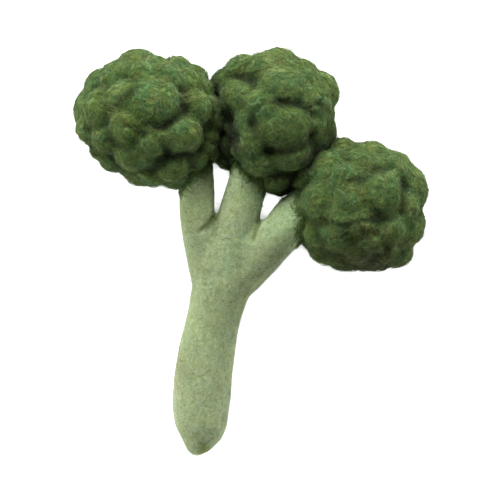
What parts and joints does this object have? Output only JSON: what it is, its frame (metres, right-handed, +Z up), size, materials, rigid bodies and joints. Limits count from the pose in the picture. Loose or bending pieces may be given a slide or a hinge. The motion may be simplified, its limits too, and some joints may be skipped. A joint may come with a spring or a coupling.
{
  "type": "felted wool broccoli",
  "caption": "Needle-felted wool broccoli for play or display: a pale green stem forks into branches that end in dark green heads of felted balls.",
  "frame": {"origin": "middle of the base that the object lies on, at the height of the table", "axes": "+Y from the stem's rounded end to the heads, +X to the right as seen from above, +Z up"},
  "size_m": [0.1172, 0.1352, 0.0453],
  "materials": {
    "pale_green_wool": "matt needle-felted wool with fine pale fibres",
    "dark_green_wool": "matt needle-felted wool, mottled dark green, with curly fibres"
  },
  "bodies": {
    "root": {"stem": "pale_green_wool", "head_left": "dark_green_wool", "head_middle": "dark_green_wool", "head_right": "dark_green_wool"}
  },
  "joints": []
}
